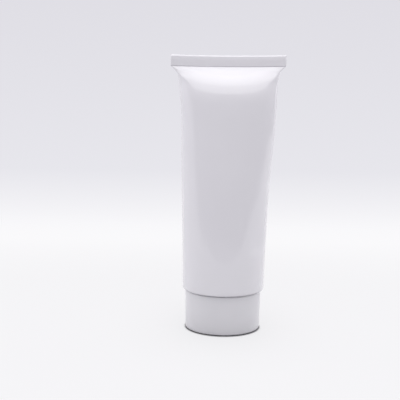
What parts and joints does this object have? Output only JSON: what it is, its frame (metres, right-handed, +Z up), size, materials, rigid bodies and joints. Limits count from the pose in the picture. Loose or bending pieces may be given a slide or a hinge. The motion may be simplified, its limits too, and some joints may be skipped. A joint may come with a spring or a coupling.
{
  "type": "cosmetic tube",
  "caption": "White oval squeeze tube for cream, flat heat-sealed at the top, standing upright on its plain oval screw cap.",
  "frame": {"origin": "middle of the cap's closed end, on the surface that the tube stands on", "axes": "+Z up along the tube from cap to seal, X across the flat seal, Y through the tube from front to back"},
  "size_m": [0.0626, 0.0314, 0.1568],
  "materials": {
    "sleeve_white": "smooth semi-gloss white polyethylene",
    "head_white": "satin white polyethylene moulding",
    "cap_white": "satin white polypropylene moulding",
    "disc_foam": "fine closed-cell foam"
  },
  "bodies": {
    "cap": {"cap": "cap_white"},
    "sealing_disc": {"sealing_disc": "disc_foam"},
    "tube": {"sleeve": "sleeve_white", "head": "head_white"}
  },
  "joints": [
    {"name": "cap_turn", "type": "hinge", "parent": "cap", "child": "sealing_disc", "pos_m": [0, 0, 0.0107], "axis": [0, 0, 1], "range_deg": [0, 720]},
    {"name": "thread_lift", "type": "slide", "parent": "sealing_disc", "child": "tube", "axis": [0, 0, 1], "range_m": [0, 0.006]}
  ],
  "couplings": [
    {"joint": "thread_lift", "follows": "cap_turn", "m_per_rad": 0.00047746}
  ]
}
